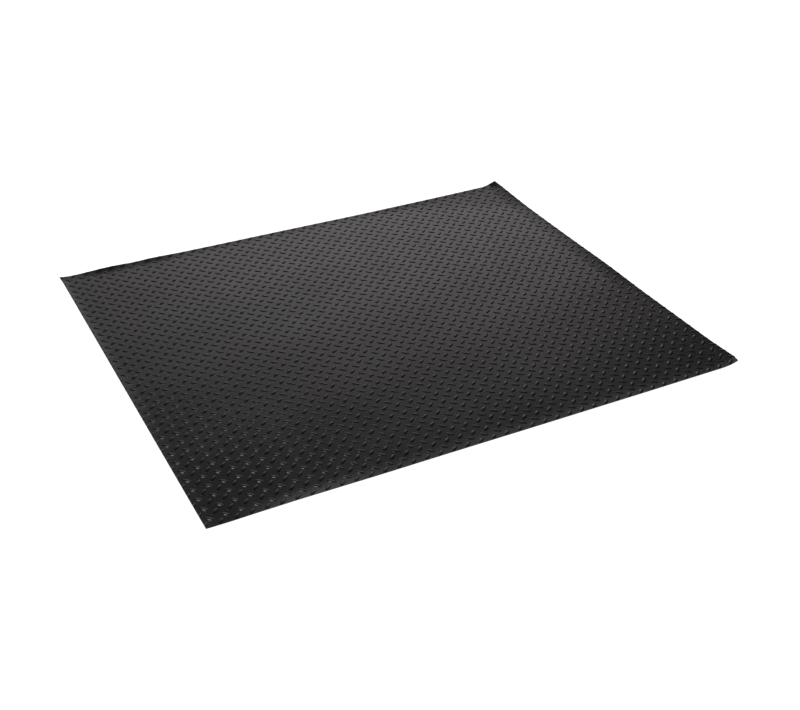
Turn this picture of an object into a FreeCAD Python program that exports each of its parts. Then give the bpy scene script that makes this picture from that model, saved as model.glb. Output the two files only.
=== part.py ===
"""Anti fatigue mat: a diamond-plate vinyl wear layer laminated to a sponge core.

Millimetres, +Z up. The origin is the centre of the underside, on the floor.
+X runs along the mat's long side and +Y from its front edge to its back edge.
"""
import FreeCAD, Part
import os

import Sketcher
from FreeCAD import Vector

# name, value in millimetres, what it is
SIZES = [
    ("mat_length", 1220.0, "long side, which is the width of the roll"),
    ("mat_depth", 1000.0, "short side, which is the length cut off the roll"),
    ("core_thickness", 6.5, "sponge core under the wear layer"),
    ("web_thickness", 1.8, "wear layer between its lugs"),
    ("lug_height", 1.2, "lug above the web"),
    ("core_setback", 3.0, "core's upper edge, back from the mat's edge"),
    ("core_lip", 0.8, "height of the core's edge above its bevel"),
    ("skive_width", 18.0, "bevel under the core's edge, measured level"),
]

WEAR_BOTTOM = "sizes.core_thickness"

doc = FreeCAD.newDocument("anti_fatigue_mat")


def make_sheet():
    """The driving dimensions, one row each."""
    sheet = doc.addObject("Spreadsheet::Sheet", "sizes")
    for row, (name, value, note) in enumerate(SIZES, start=1):
        sheet.set(f"A{row}", name)
        sheet.set(f"B{row}", str(value))
        sheet.set(f"C{row}", note)
        sheet.setAlias(f"B{row}", name)
    doc.recompute()
    return sheet


def new_body(label):
    """A sub-part, whose label names its file."""
    body = doc.addObject("PartDesign::Body", label)
    body.Label = label
    return body


def origin_feature(body, role):
    """One of the body's own origin planes or axes."""
    return next(item for item in body.Origin.OriginFeatures if item.Role == role)


def level_sketch(body, name, height):
    """An empty sketch parallel to the floor, its height an expression."""
    sketch = body.newObject("Sketcher::SketchObject", name)
    sketch.AttachmentSupport = [(origin_feature(body, "XY_Plane"), "")]
    sketch.MapMode = "FlatFace"
    sketch.setExpression("AttachmentOffset.Base.z", height)
    return sketch


def bind(sketch, constraint, expression):
    """Adds a dimension that follows the spreadsheet."""
    index = sketch.addConstraint(constraint)
    sketch.setExpression(f"Constraints[{index}]", expression)


def add_rectangle(sketch, half_length, half_depth, length, depth):
    """A rectangle centred on the sketch's origin, its sides bound to expressions."""
    corners = [
        Vector(-half_length, -half_depth, 0),
        Vector(half_length, -half_depth, 0),
        Vector(half_length, half_depth, 0),
        Vector(-half_length, half_depth, 0),
    ]
    sides = [
        sketch.addGeometry(Part.LineSegment(corners[i], corners[(i + 1) % 4]))
        for i in range(4)
    ]
    for i in range(4):
        sketch.addConstraint(Sketcher.Constraint("Coincident", sides[i], 2, sides[(i + 1) % 4], 1))
    for front_or_back in (sides[0], sides[2]):
        sketch.addConstraint(Sketcher.Constraint("Horizontal", front_or_back))
    for left_or_right in (sides[1], sides[3]):
        sketch.addConstraint(Sketcher.Constraint("Vertical", left_or_right))
    sketch.addConstraint(Sketcher.Constraint("Symmetric", sides[0], 1, sides[2], 1, -1, 1))
    bind(sketch, Sketcher.Constraint("DistanceX", sides[0], 1, sides[0], 2, 2 * half_length), length)
    bind(sketch, Sketcher.Constraint("DistanceY", sides[1], 1, sides[1], 2, 2 * half_depth), depth)


def make_wear_layer(sheet):
    """The vinyl skin, level with the tops of its tread, out to all four cut edges."""
    body = new_body("wear_layer")
    outline = level_sketch(body, "wear_outline", WEAR_BOTTOM)
    add_rectangle(
        outline, sheet.mat_length / 2, sheet.mat_depth / 2, "sizes.mat_length", "sizes.mat_depth"
    )
    skin = body.newObject("PartDesign::Pad", "skin")
    skin.Profile = outline
    skin.setExpression("Length", "sizes.web_thickness + sizes.lug_height")
    body.Tip = skin
    doc.recompute()
    return body


def make_foam_core(sheet):
    """The sponge: a slab under the web, skived from below along all four edges."""
    body = new_body("foam_core")
    core_outline = level_sketch(body, "core_outline", "0")
    add_rectangle(
        core_outline,
        sheet.mat_length / 2 - sheet.core_setback,
        sheet.mat_depth / 2 - sheet.core_setback,
        "sizes.mat_length - 2 * sizes.core_setback",
        "sizes.mat_depth - 2 * sizes.core_setback",
    )
    slab = body.newObject("PartDesign::Pad", "slab")
    slab.Profile = core_outline
    slab.setExpression("Length", "sizes.core_thickness")
    doc.recompute()

    bottom_edges = [
        f"Edge{number}"
        for number, edge in enumerate(slab.Shape.Edges, start=1)
        if edge.BoundBox.ZMax < sheet.core_lip / 2
    ]
    skive = body.newObject("PartDesign::Chamfer", "skive")
    skive.Base = (slab, bottom_edges)
    skive.ChamferType = "Two distances"
    skive.setExpression("Size", "sizes.core_thickness - sizes.core_lip")
    skive.setExpression("Size2", "sizes.skive_width")
    body.Tip = skive
    doc.recompute()
    return body


def check_document(bodies):
    """Stops on a failed feature or a body that isn't one sound solid."""
    for item in doc.Objects:
        if "Invalid" in item.State or "Error" in item.State:
            raise RuntimeError(f"{item.Label} did not rebuild: {item.State}")
    for body in bodies:
        shape = body.Shape
        if shape.isNull() or not shape.isValid() or len(shape.Solids) != 1:
            raise RuntimeError(f"{body.Label} is not one valid solid")


def main():
    sheet = make_sheet()
    bodies = [make_wear_layer(sheet), make_foam_core(sheet)]
    doc.recompute()
    check_document(bodies)
    os.makedirs("parts", exist_ok=True)
    for body in bodies:
        shape = body.Shape
        shape.exportStep(os.path.join("parts", f"{body.Label}.step"))
        box = shape.BoundBox
        print(
            f"{body.Label}: {shape.Volume:.0f} mm3, {len(shape.Faces)} faces, "
            f"x {box.XMin:.2f} to {box.XMax:.2f}, y {box.YMin:.2f} to {box.YMax:.2f}, "
            f"z {box.ZMin:.2f} to {box.ZMax:.2f}"
        )


main()
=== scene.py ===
"""The looks of the anti fatigue mat: its tread, its sponge, the way it lies, and a plain studio."""

import math

import bmesh
import bpy
import numpy as np
from mathutils import Matrix, Vector


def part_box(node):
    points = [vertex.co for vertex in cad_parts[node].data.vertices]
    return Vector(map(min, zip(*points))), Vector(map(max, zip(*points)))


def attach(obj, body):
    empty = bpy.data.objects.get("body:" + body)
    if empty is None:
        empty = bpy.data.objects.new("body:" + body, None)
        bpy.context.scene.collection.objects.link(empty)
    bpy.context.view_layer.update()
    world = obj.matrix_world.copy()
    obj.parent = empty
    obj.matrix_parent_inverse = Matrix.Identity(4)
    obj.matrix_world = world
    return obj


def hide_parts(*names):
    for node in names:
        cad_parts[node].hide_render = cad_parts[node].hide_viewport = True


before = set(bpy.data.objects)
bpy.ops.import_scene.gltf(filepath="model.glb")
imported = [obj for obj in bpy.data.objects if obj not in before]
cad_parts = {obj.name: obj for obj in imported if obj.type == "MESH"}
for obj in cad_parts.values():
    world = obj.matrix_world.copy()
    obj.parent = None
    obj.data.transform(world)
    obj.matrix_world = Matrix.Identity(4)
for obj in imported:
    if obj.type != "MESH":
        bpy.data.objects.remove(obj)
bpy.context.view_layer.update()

MM = 0.001
SKIN_LOW, SKIN_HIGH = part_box("wear_layer")
CORE_LOW, CORE_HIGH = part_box("foam_core")
HALF_LENGTH = SKIN_HIGH.x
HALF_DEPTH = SKIN_HIGH.y

# ---------------------------------------------------------------- the tread
LUG_HEIGHT = 1.2 * MM
LUG_LENGTH = 21.0 * MM       # a square's diagonal is 21.2 mm, and a lug stays within it
LUG_WIDTH = 8.8 * MM
COLUMN_PITCH = 30.0 * MM     # between lugs of one lean, along the long side
ROW_PITCH = 29.9 * MM        # and along the short side
FIRST_COLUMN = 14.9 * MM     # left edge to the first column of back-leaning lugs
FIRST_ROW = 22.4 * MM        # front edge to the first row of back-leaning lugs
STATIONS = (-0.76, -0.42, 0.0, 0.42, 0.76)   # along a lug, as shares of its half length
ACROSS = (-1.0, -0.55, 0.0, 0.55, 1.0)       # across it, as shares of its half width there
CREST_POWER = 2.0            # 2 makes the lug's section a parabola, and more is flatter on top
OUTLINE_POWER = 2.5          # 2 makes its outline two parabolas, and more is blunter at the tips
LEVEL_POWER = 3.0            # 2 makes its crest a parabola from tip to tip, and more is more level
WEB_TOP = SKIN_HIGH.z - LUG_HEIGHT
ON_SIDE = 0.001 * MM         # a vertex this near one of the mat's four sides counts as on it
TINY_EDGE = 0.02 * MM        # vertices closer than this are merged once the sides are cut

# ---------------------------------------------------------------- the sponge
SKIVE_WIDTH = 18.0 * MM      # bevel under its edge, measured level
CORE_LIP = 0.8 * MM          # height of the edge above the bevel
CORE_GRID = 15.0 * MM        # the mesh lines between its bevels are no farther apart than this

# ---------------------------------------------------------------- how the mat lies
MARGIN_POWER = 1.5           # 1 makes a margin rise straight to its edge, and more curls it up


class Margin:
    """The band along one edge that turns up: its width, and its rise at places along it."""

    def __init__(self, width, *rises):
        self.width = width * MM
        self.places = np.array([place for place, _ in rises]) * MM
        self.rises = np.array([rise for _, rise in rises]) * MM

    def lift(self, inward, along):
        """How high the band stands, by the distances from the edge and from the edge's start."""
        k = np.clip(np.searchsorted(self.places, along) - 1, 0, len(self.places) - 2)
        share = np.clip((along - self.places[k]) / (self.places[k + 1] - self.places[k]), 0, 1)
        share = share**2 * (3 - 2 * share)
        rise = self.rises[k] + (self.rises[k + 1] - self.rises[k]) * share
        return rise * np.clip(1 - inward / self.width, 0, 1) ** MARGIN_POWER


# width, then each place and the rise there, in millimetres; places run from left to right
# along the front and back edges, and from front to back along the sides
FRONT = Margin(
    22, (0, 0.2), (40, 0.2), (120, 1.2), (180, 1.7), (260, 1.4), (360, 0.8), (760, 0.6), (1220, 0.9)
)
BACK = Margin(
    24, (0, 1.2), (27, 0.4), (122, 3.2), (180, 1.5), (222, 2.6), (310, 1.1), (800, 0.8), (1220, 0.3)
)
LEFT = Margin(18, (0, 0.6), (1000, 0.8))
RIGHT = Margin(36, (0, 2.4), (330, 2.2), (500, 4.0), (680, 2.4), (1000, 2.6))


class Fold:
    """A lift of one corner: how far it reaches along x and y, its rise and how the tip moves.

    A power of 1 makes it rise straight to the tip, and more curls it up.
    """

    def __init__(self, reach_x, reach_y, rise, power, shift=(0, 0)):
        self.reach = (reach_x * MM, reach_y * MM)
        self.rise = rise * MM
        self.power = power
        self.shift = (shift[0] * MM, shift[1] * MM)


# the folds of each corner, by the signs of its x and y, in millimetres
CORNERS = {
    (1, 1): (Fold(430, 150, 5.6, 1.3), Fold(46, 15, 2.7, 1.05, (-4, 10))),
    (1, -1): (Fold(50, 110, 4.6, 1.4), Fold(22, 22, 1.0, 1.2, (-6, 0))),
    (-1, 1): (Fold(22, 22, 1.2, 1.3, (-2, 0)),),
    (-1, -1): (Fold(50, 50, 0.3, 1.5),),
}
WAVE_HEIGHT = 0.1 * MM       # each wave counts from its trough, so nothing dips into the floor
WAVES = ((19, 5, 0.0), (11, -14, 1.3), (-6, 27, 0.4))   # radians per metre of x and y, and phase


def displacement(x, y):
    """How far each point moves from flat: the mat's margins, corners and slow waves."""
    from_left, from_right = HALF_LENGTH + x, HALF_LENGTH - x
    from_front, from_back = HALF_DEPTH + y, HALF_DEPTH - y
    margins = (
        FRONT.lift(from_front, from_left),
        BACK.lift(from_back, from_left),
        LEFT.lift(from_left, from_front),
        RIGHT.lift(from_right, from_front),
    )
    waves = sum(1 + np.sin(along_x * x + along_y * y + phase) for along_x, along_y, phase in WAVES)
    move = np.zeros((len(x), 3))
    move[:, 2] = np.sqrt(sum(lift**2 for lift in margins)) + WAVE_HEIGHT * waves
    for (side, end), folds in CORNERS.items():
        from_side = HALF_LENGTH - side * x
        from_end = HALF_DEPTH - end * y
        for fold in folds:
            share = np.clip(1 - from_side / fold.reach[0] - from_end / fold.reach[1], 0, 1) ** fold.power
            move[:, 0] += fold.shift[0] * share
            move[:, 1] += fold.shift[1] * share
            move[:, 2] += fold.rise * share
    return move


def lay_down(mesh):
    """Moves a flat mesh's vertices to where the mat really lies."""
    points = np.empty(len(mesh.vertices) * 3, np.float32)
    mesh.vertices.foreach_get("co", points)
    points = points.reshape(-1, 3)
    points += displacement(points[:, 0], points[:, 1]).astype(np.float32)
    mesh.vertices.foreach_set("co", points.ravel())
    mesh.update()


# ---------------------------------------------------------------- wear layer
def lug_points():
    """One lug lying along +X: its two tips, then the points across each station."""
    points = [(-LUG_LENGTH / 2, 0, 0), (LUG_LENGTH / 2, 0, 0)]
    for along in STATIONS:
        half_width = LUG_WIDTH / 2 * (1 - abs(along) ** OUTLINE_POWER)
        crest = LUG_HEIGHT * (1 - abs(along) ** LEVEL_POWER)
        for across in ACROSS:
            height = crest * (1 - abs(across) ** CREST_POWER)
            points.append((along * LUG_LENGTH / 2, across * half_width, height))
    return np.array(points)


def lug_faces(first, tip_corners, left_corner, right_corner):
    """Faces of the lug whose points start at first, and of the web round it in its square.

    The second value is the lug's outline, where it meets the web.
    """
    count = len(ACROSS)

    def at(station, across):
        return first + 2 + station * count + across

    start_tip, end_tip = first, first + 1
    last = len(STATIONS) - 1
    left = [start_tip, *(at(k, count - 1) for k in range(last + 1)), end_tip]
    right = [end_tip, *(at(k, 0) for k in range(last, -1, -1)), start_tip]
    faces = []
    for corner, outline, before, after in (
        (left_corner, left, tip_corners[0], tip_corners[1]),
        (right_corner, right, tip_corners[1], tip_corners[0]),
    ):
        ring = [before, *outline, after]
        faces += [(corner, a, b) for a, b in zip(ring, ring[1:])]
    for a in range(count - 1):
        faces.append((start_tip, at(0, a), at(0, a + 1)))
        faces.append((end_tip, at(last, a + 1), at(last, a)))
        faces += [(at(k, a), at(k + 1, a), at(k + 1, a + 1), at(k, a + 1)) for k in range(last)]
    return faces, left + right


def tread_surface():
    """The upper surface, running past all four edges, and its lugs' outlines.

    It is a chequerboard of squares half a pitch wide. Every other square holds a lug
    along its diagonal, and the lean of the lugs swaps from one row to the next. The first
    column and row cross in the middle of the third square each way, so the squares begin
    outside the mat.
    """
    step = Vector((COLUMN_PITCH / 2, ROW_PITCH / 2))
    start = Vector((FIRST_COLUMN - HALF_LENGTH, FIRST_ROW - HALF_DEPTH)) - 2.5 * step
    columns = math.ceil((HALF_LENGTH - start.x) / step.x) + 1
    rows = math.ceil((HALF_DEPTH - start.y) / step.y) + 1
    verts = [
        (start.x + i * step.x, start.y + j * step.y, WEB_TOP)
        for j in range(rows + 1)
        for i in range(columns + 1)
    ]
    template = lug_points()
    faces, outlines = [], set()
    for j in range(rows):
        for i in range(columns):
            near_left = j * (columns + 1) + i
            far_left = near_left + columns + 1
            near_right, far_right = near_left + 1, far_left + 1
            if (i + j) % 2:
                faces.append((near_left, near_right, far_right, far_left))
                continue
            if i % 2 == 0:
                turn, corners = -math.pi / 4, ((far_left, near_right), far_right, near_left)
            else:
                turn, corners = math.pi / 4, ((near_left, far_right), far_left, near_right)
            place = (start.x + (i + 0.5) * step.x, start.y + (j + 0.5) * step.y, WEB_TOP)
            turned = template @ np.array(Matrix.Rotation(-turn, 3, "Z"))
            new_faces, outline = lug_faces(len(verts), *corners)
            verts += (turned + place).tolist()
            faces += new_faces
            outlines.update(outline)
    return verts, faces, outlines


def add_underside(verts, faces):
    """A coarser level surface at the wear layer's underside, facing down."""
    step = COLUMN_PITCH / 2
    columns = math.ceil(HALF_LENGTH / step) + 1
    rows = math.ceil(HALF_DEPTH / step) + 1
    first = len(verts)
    width = 2 * columns + 1
    for j in range(-rows, rows + 1):
        verts += [(i * step, j * step, SKIN_LOW.z) for i in range(-columns, columns + 1)]
    for j in range(2 * rows):
        for i in range(2 * columns):
            corner = first + j * width + i
            faces.append((corner, corner + width, corner + width + 1, corner + 1))


def close_side(bm, upper, lower, along):
    """Joins the upper and lower rims of one cut with a strip of triangles."""
    upper.sort(key=along)
    lower.sort(key=along)
    i = j = 0
    while i + 1 < len(upper) or j + 1 < len(lower):
        lower_done = j + 1 == len(lower)
        if lower_done or (i + 1 < len(upper) and along(upper[i + 1]) <= along(lower[j + 1])):
            bm.faces.new((upper[i], upper[i + 1], lower[j]))
            i += 1
        else:
            bm.faces.new((upper[i], lower[j + 1], lower[j]))
            j += 1


def cut_edges(bm):
    """Cuts the sheet along its four edges and closes each cut with a flat wall."""
    sides = [
        (Vector((sx * HALF_LENGTH, sy * HALF_DEPTH, 0)), Vector((sx, sy, 0)))
        for sx, sy in ((1, 0), (0, 1), (-1, 0), (0, -1))
    ]
    for point, normal in sides:
        everything = bm.verts[:] + bm.edges[:] + bm.faces[:]
        bmesh.ops.bisect_plane(
            bm, geom=everything, dist=ON_SIDE / 10, plane_co=point, plane_no=normal, clear_outer=True
        )
    bmesh.ops.remove_doubles(bm, verts=bm.verts, dist=TINY_EDGE)
    rim = [vert for vert in bm.verts if vert.is_boundary]
    middle = (SKIN_LOW.z + WEB_TOP) / 2
    for point, normal in sides:
        on_side = [vert for vert in rim if abs((vert.co - point).dot(normal)) < ON_SIDE]
        upper = [vert for vert in on_side if vert.co.z > middle]
        lower = [vert for vert in on_side if vert.co.z < middle]
        axis = 0 if normal.x == 0 else 1
        close_side(bm, upper, lower, lambda vert: vert.co[axis])


def make_wear_layer():
    """The vinyl sheet with its tread, cut square and laid down."""
    verts, faces, outlines = tread_surface()
    add_underside(verts, faces)
    mesh = bpy.data.meshes.new("vinyl_wear_layer")
    mesh.from_pydata(verts, [], faces)
    bm = bmesh.new()
    bm.from_mesh(mesh)
    bm.verts.ensure_lookup_table()
    for face in bm.faces:
        face.smooth = True
    for edge in bm.edges:
        edge.smooth = not (edge.verts[0].index in outlines and edge.verts[1].index in outlines)
    cut_edges(bm)
    bmesh.ops.recalc_face_normals(bm, faces=bm.faces)
    for face in bm.faces:
        is_wall = abs(face.normal.z) < 0.1
        if is_wall:
            face.smooth = False
    bm.to_mesh(mesh)
    bm.free()
    lay_down(mesh)
    return add_piece("vinyl_wear_layer", mesh)


# ---------------------------------------------------------------- sponge core
def grid_lines(half, inset):
    """Where the mesh lines run: one at each edge, and evenly spaced ones from inset to inset."""
    inner = half - inset
    count = math.ceil(2 * inner / CORE_GRID)
    lines = [-half, *np.linspace(-inner, inner, count + 1), half]
    return [float(line) for line in lines]


def make_foam_core():
    """The sponge slab, bevelled from below along its edges, laid down with the sheet."""
    half_x, half_y = CORE_HIGH.x, CORE_HIGH.y
    xs, ys = grid_lines(half_x, SKIVE_WIDTH), grid_lines(half_y, SKIVE_WIDTH)
    thickness = CORE_HIGH.z - CORE_LOW.z
    verts, faces = [], []
    for y in ys:
        for x in xs:
            inward = min(half_x - abs(x), half_y - abs(y))
            share = 1 - min(inward / SKIVE_WIDTH, 1)
            verts.append((x, y, CORE_LOW.z + share * (thickness - CORE_LIP)))
    lower = len(verts)
    verts += [(x, y, CORE_HIGH.z) for x, y, _ in verts]
    width, depth = len(xs), len(ys)
    for j in range(depth - 1):
        for i in range(width - 1):
            a = j * width + i
            faces.append((a, a + width, a + width + 1, a + 1))
            faces.append((lower + a, lower + a + 1, lower + a + width + 1, lower + a + width))
    front = list(range(width))
    right = [j * width + width - 1 for j in range(depth)]
    back = [(depth - 1) * width + i for i in range(width - 1, -1, -1)]
    left = [j * width for j in range(depth - 1, -1, -1)]
    for wall in (front, right, back, left):
        faces += [(a, b, lower + b, lower + a) for a, b in zip(wall, wall[1:])]
    mesh = bpy.data.meshes.new("sponge_core")
    mesh.from_pydata(verts, [], faces)
    lay_down(mesh)
    return add_piece("sponge_core", mesh)


def add_piece(name, mesh):
    piece = bpy.data.objects.new(name, mesh)
    bpy.context.scene.collection.objects.link(piece)
    return piece


# ---------------------------------------------------------------- materials
class Nodes:
    """A material's node tree, with short calls to add and link its nodes."""

    def __init__(self, name):
        self.material = bpy.data.materials.new(name)
        self.material.use_nodes = True
        self.tree = self.material.node_tree
        self.shader = self.tree.nodes["Principled BSDF"]
        self.place = self.tree.nodes.new("ShaderNodeTexCoord").outputs["Object"]

    def link(self, source, node, socket):
        self.tree.links.new(source, node.inputs[socket])

    def noise(self, scale, detail):
        node = self.tree.nodes.new("ShaderNodeTexNoise")
        node.inputs["Scale"].default_value = scale
        node.inputs["Detail"].default_value = detail
        self.link(self.place, node, "Vector")
        return node.outputs["Fac"]

    def cells(self, scale):
        node = self.tree.nodes.new("ShaderNodeTexVoronoi")
        node.inputs["Scale"].default_value = scale
        self.link(self.place, node, "Vector")
        return node.outputs["Distance"]

    def remap(self, value, low, high, to_low, to_high):
        node = self.tree.nodes.new("ShaderNodeMapRange")
        self.link(value, node, "Value")
        limits = {"From Min": low, "From Max": high, "To Min": to_low, "To Max": to_high}
        for socket, number in limits.items():
            node.inputs[socket].default_value = number
        return node.outputs["Result"]

    def blend(self, share, first, second):
        node = self.tree.nodes.new("ShaderNodeMix")
        node.data_type = "RGBA"
        first_colour, second_colour = node.inputs[6], node.inputs[7]
        first_colour.default_value = (*first, 1)
        second_colour.default_value = (*second, 1)
        self.link(share, node, 0)
        return node.outputs[2]

    def bump(self, height, distance, strength, under=None):
        node = self.tree.nodes.new("ShaderNodeBump")
        node.inputs["Distance"].default_value = distance
        node.inputs["Strength"].default_value = strength
        self.link(height, node, "Height")
        if under is not None:
            self.link(under, node, "Normal")
        return node.outputs["Normal"]


def vinyl():
    """Satin black vinyl: a faint fine grain, slow mottling, and gloss that wanders a little."""
    nodes = Nodes("black_vinyl")
    mottle = nodes.noise(14, 4)
    grain = nodes.noise(160, 3)
    colour = nodes.blend(mottle, (0.012, 0.012, 0.0122), (0.018, 0.018, 0.0182))
    nodes.link(colour, nodes.shader, "Base Color")
    nodes.link(nodes.remap(mottle, 0.3, 0.7, 0.19, 0.24), nodes.shader, "Roughness")
    nodes.link(nodes.bump(grain, 0.1 * MM, 0.6), nodes.shader, "Normal")
    nodes.shader.inputs["IOR"].default_value = 1.5
    return nodes.material


def sponge():
    """Matt black closed-cell sponge, its cut cells a millimetre or so across."""
    nodes = Nodes("black_sponge")
    pores = nodes.cells(700)
    lumps = nodes.noise(90, 3)
    colour = nodes.blend(lumps, (0.012, 0.012, 0.0125), (0.026, 0.026, 0.027))
    nodes.link(colour, nodes.shader, "Base Color")
    nodes.link(nodes.remap(pores, 0, 0.6, 0.95, 0.75), nodes.shader, "Roughness")
    uneven = nodes.bump(lumps, 0.6 * MM, 0.5)
    nodes.link(nodes.bump(pores, 0.4 * MM, 0.8, uneven), nodes.shader, "Normal")
    return nodes.material


# ---------------------------------------------------------------- studio
def make_floor():
    """A plain white floor, lit to white, that runs well past the view."""
    bpy.ops.mesh.primitive_plane_add(size=60, location=(0, 0, 0))
    floor = bpy.context.object
    floor.name = "floor"
    material = bpy.data.materials.new("white_floor")
    material.use_nodes = True
    shader = material.node_tree.nodes["Principled BSDF"]
    shader.inputs["Base Color"].default_value = (0.9, 0.9, 0.9, 1)
    shader.inputs["Roughness"].default_value = 0.9
    shader.inputs["Specular IOR Level"].default_value = 0.0
    shader.inputs["Emission Color"].default_value = (1, 1, 1, 1)
    shader.inputs["Emission Strength"].default_value = 1.0
    floor.data.materials.append(material)


class Glow:
    """A soft light on the studio's walls, by where it is seen from the mat.

    Its sides are azimuths from +Y towards +X, and its foot and top are elevations. Each is in
    degrees, with how softly the light ends there.
    """

    def __init__(self, start, end, foot, top, strength):
        self.start, self.end = start, end
        self.foot, self.top = foot, top
        self.strength = strength


# the panel beyond the back edge, its brighter upper part, a faint haze round both, the low
# walls at the front and sides, and the middle of the ceiling, of which only the foot counts,
# because its sides and top lie past every real direction
GLOWS = (
    Glow((10.5, 4.0), (40.0, 1.5), (12.0, 2.0), (31.6, 1.0), 1.02),
    Glow((14.5, 2.0), (30.0, 2.0), (28.0, 1.5), (34.6, 1.0), 0.36),
    Glow((3.0, 8.0), (54.0, 3.0), (0.0, 2.0), (46.0, 3.5), 0.10),
    Glow((95.0, 6.0), (347.0, 6.0), (0.0, 2.0), (36.0, 3.0), 0.60),
    Glow((-90.0, 1.0), (450.0, 1.0), (76.0, 1.5), (99.0, 1.0), 0.20),
)
DARK_WALL = 0.03             # how bright the room is where there is no glow
BACKDROP = 1.2               # what the camera itself sees behind the floor
TINT = (1.0, 0.95, 0.975, 1)   # a trace of rose, as in the sheen on the photographed mat


def make_world():
    """A dark studio with soft bright panels, and a plain white backdrop for the camera."""
    world = bpy.data.worlds.new("studio")
    bpy.context.scene.world = world
    world.use_nodes = True
    tree = world.node_tree
    background = tree.nodes["Background"]
    background.inputs["Color"].default_value = TINT
    direction = tree.nodes.new("ShaderNodeTexCoord").outputs["Generated"]
    split = tree.nodes.new("ShaderNodeSeparateXYZ")
    tree.links.new(direction, split.inputs[0])

    def maths(operation, first, second=None):
        node = tree.nodes.new("ShaderNodeMath")
        node.operation = operation
        for socket, value in zip(node.inputs, (first, second)):
            if value is None:
                continue
            if isinstance(value, (int, float)):
                socket.default_value = value
            else:
                tree.links.new(value, socket)
        return node.outputs[0]

    def step(value, edge, softness):
        """0 below the edge and 1 above it, as a smooth S about four softnesses wide each way."""
        grown = maths("EXPONENT", maths("MULTIPLY", maths("SUBTRACT", value, edge), -1 / softness))
        return maths("DIVIDE", 1.0, maths("ADD", grown, 1.0))

    def between(value, low, high):
        return maths("MULTIPLY", step(value, *low), maths("SUBTRACT", 1.0, step(value, *high)))

    elevation = maths("DEGREES", maths("ARCSINE", split.outputs["Z"]))
    turn = maths("DEGREES", maths("ARCTAN2", split.outputs["X"], split.outputs["Y"]))
    azimuth = maths("FLOORED_MODULO", turn, 360.0)
    light = DARK_WALL
    for glow in GLOWS:
        inside = maths(
            "MULTIPLY",
            between(azimuth, glow.start, glow.end),
            between(elevation, glow.foot, glow.top),
        )
        light = maths("ADD", maths("MULTIPLY", inside, glow.strength), light)
    seen = tree.nodes.new("ShaderNodeLightPath").outputs["Is Camera Ray"]
    unseen = maths("SUBTRACT", 1.0, seen)
    strength = maths("ADD", maths("MULTIPLY", seen, BACKDROP), maths("MULTIPLY", unseen, light))
    tree.links.new(strength, background.inputs["Strength"])


def make_key_light():
    """A soft key light high above the mat's left edge, facing straight down."""
    light = bpy.data.lights.new("key", "AREA")
    light.size = 0.35
    light.energy = 3.7
    key = bpy.data.objects.new("key", light)
    bpy.context.scene.collection.objects.link(key)
    key.location = (-0.75, 0.2, 1.9)


CAMERA_PLACE = (-1.0807, -2.0645, 1.4176)
CAMERA_ANGLES = (28.549, 32.893, 1.446)   # degrees of yaw from +Y towards +X, pitch down and roll


def make_camera():
    """The camera stands off the front left corner and looks down across the mat."""
    yaw, pitch, roll = (math.radians(angle) for angle in CAMERA_ANGLES)
    across, ahead = math.sin(yaw), math.cos(yaw)
    forward = Vector((across * math.cos(pitch), ahead * math.cos(pitch), -math.sin(pitch)))
    level = Vector((ahead, -across, 0))
    above = level.cross(forward)
    right = level * math.cos(roll) + above * math.sin(roll)
    up = above * math.cos(roll) - level * math.sin(roll)
    data = bpy.data.cameras.new("camera")
    data.lens = 53.85
    data.sensor_width = 36
    camera = bpy.data.objects.new("camera", data)
    bpy.context.scene.collection.objects.link(camera)
    axes = Matrix((right, up, -forward)).transposed()
    camera.matrix_world = Matrix.Translation(CAMERA_PLACE) @ axes.to_4x4()
    bpy.context.scene.camera = camera


# ---------------------------------------------------------------- the whole thing
make_camera()
make_world()
make_key_light()
make_floor()

skin = make_wear_layer()
skin.data.materials.append(vinyl())
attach(skin, "root")
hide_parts("wear_layer")

core = make_foam_core()
core.data.materials.append(sponge())
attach(core, "root")
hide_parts("foam_core")

bpy.context.scene.view_settings.view_transform = "Standard"
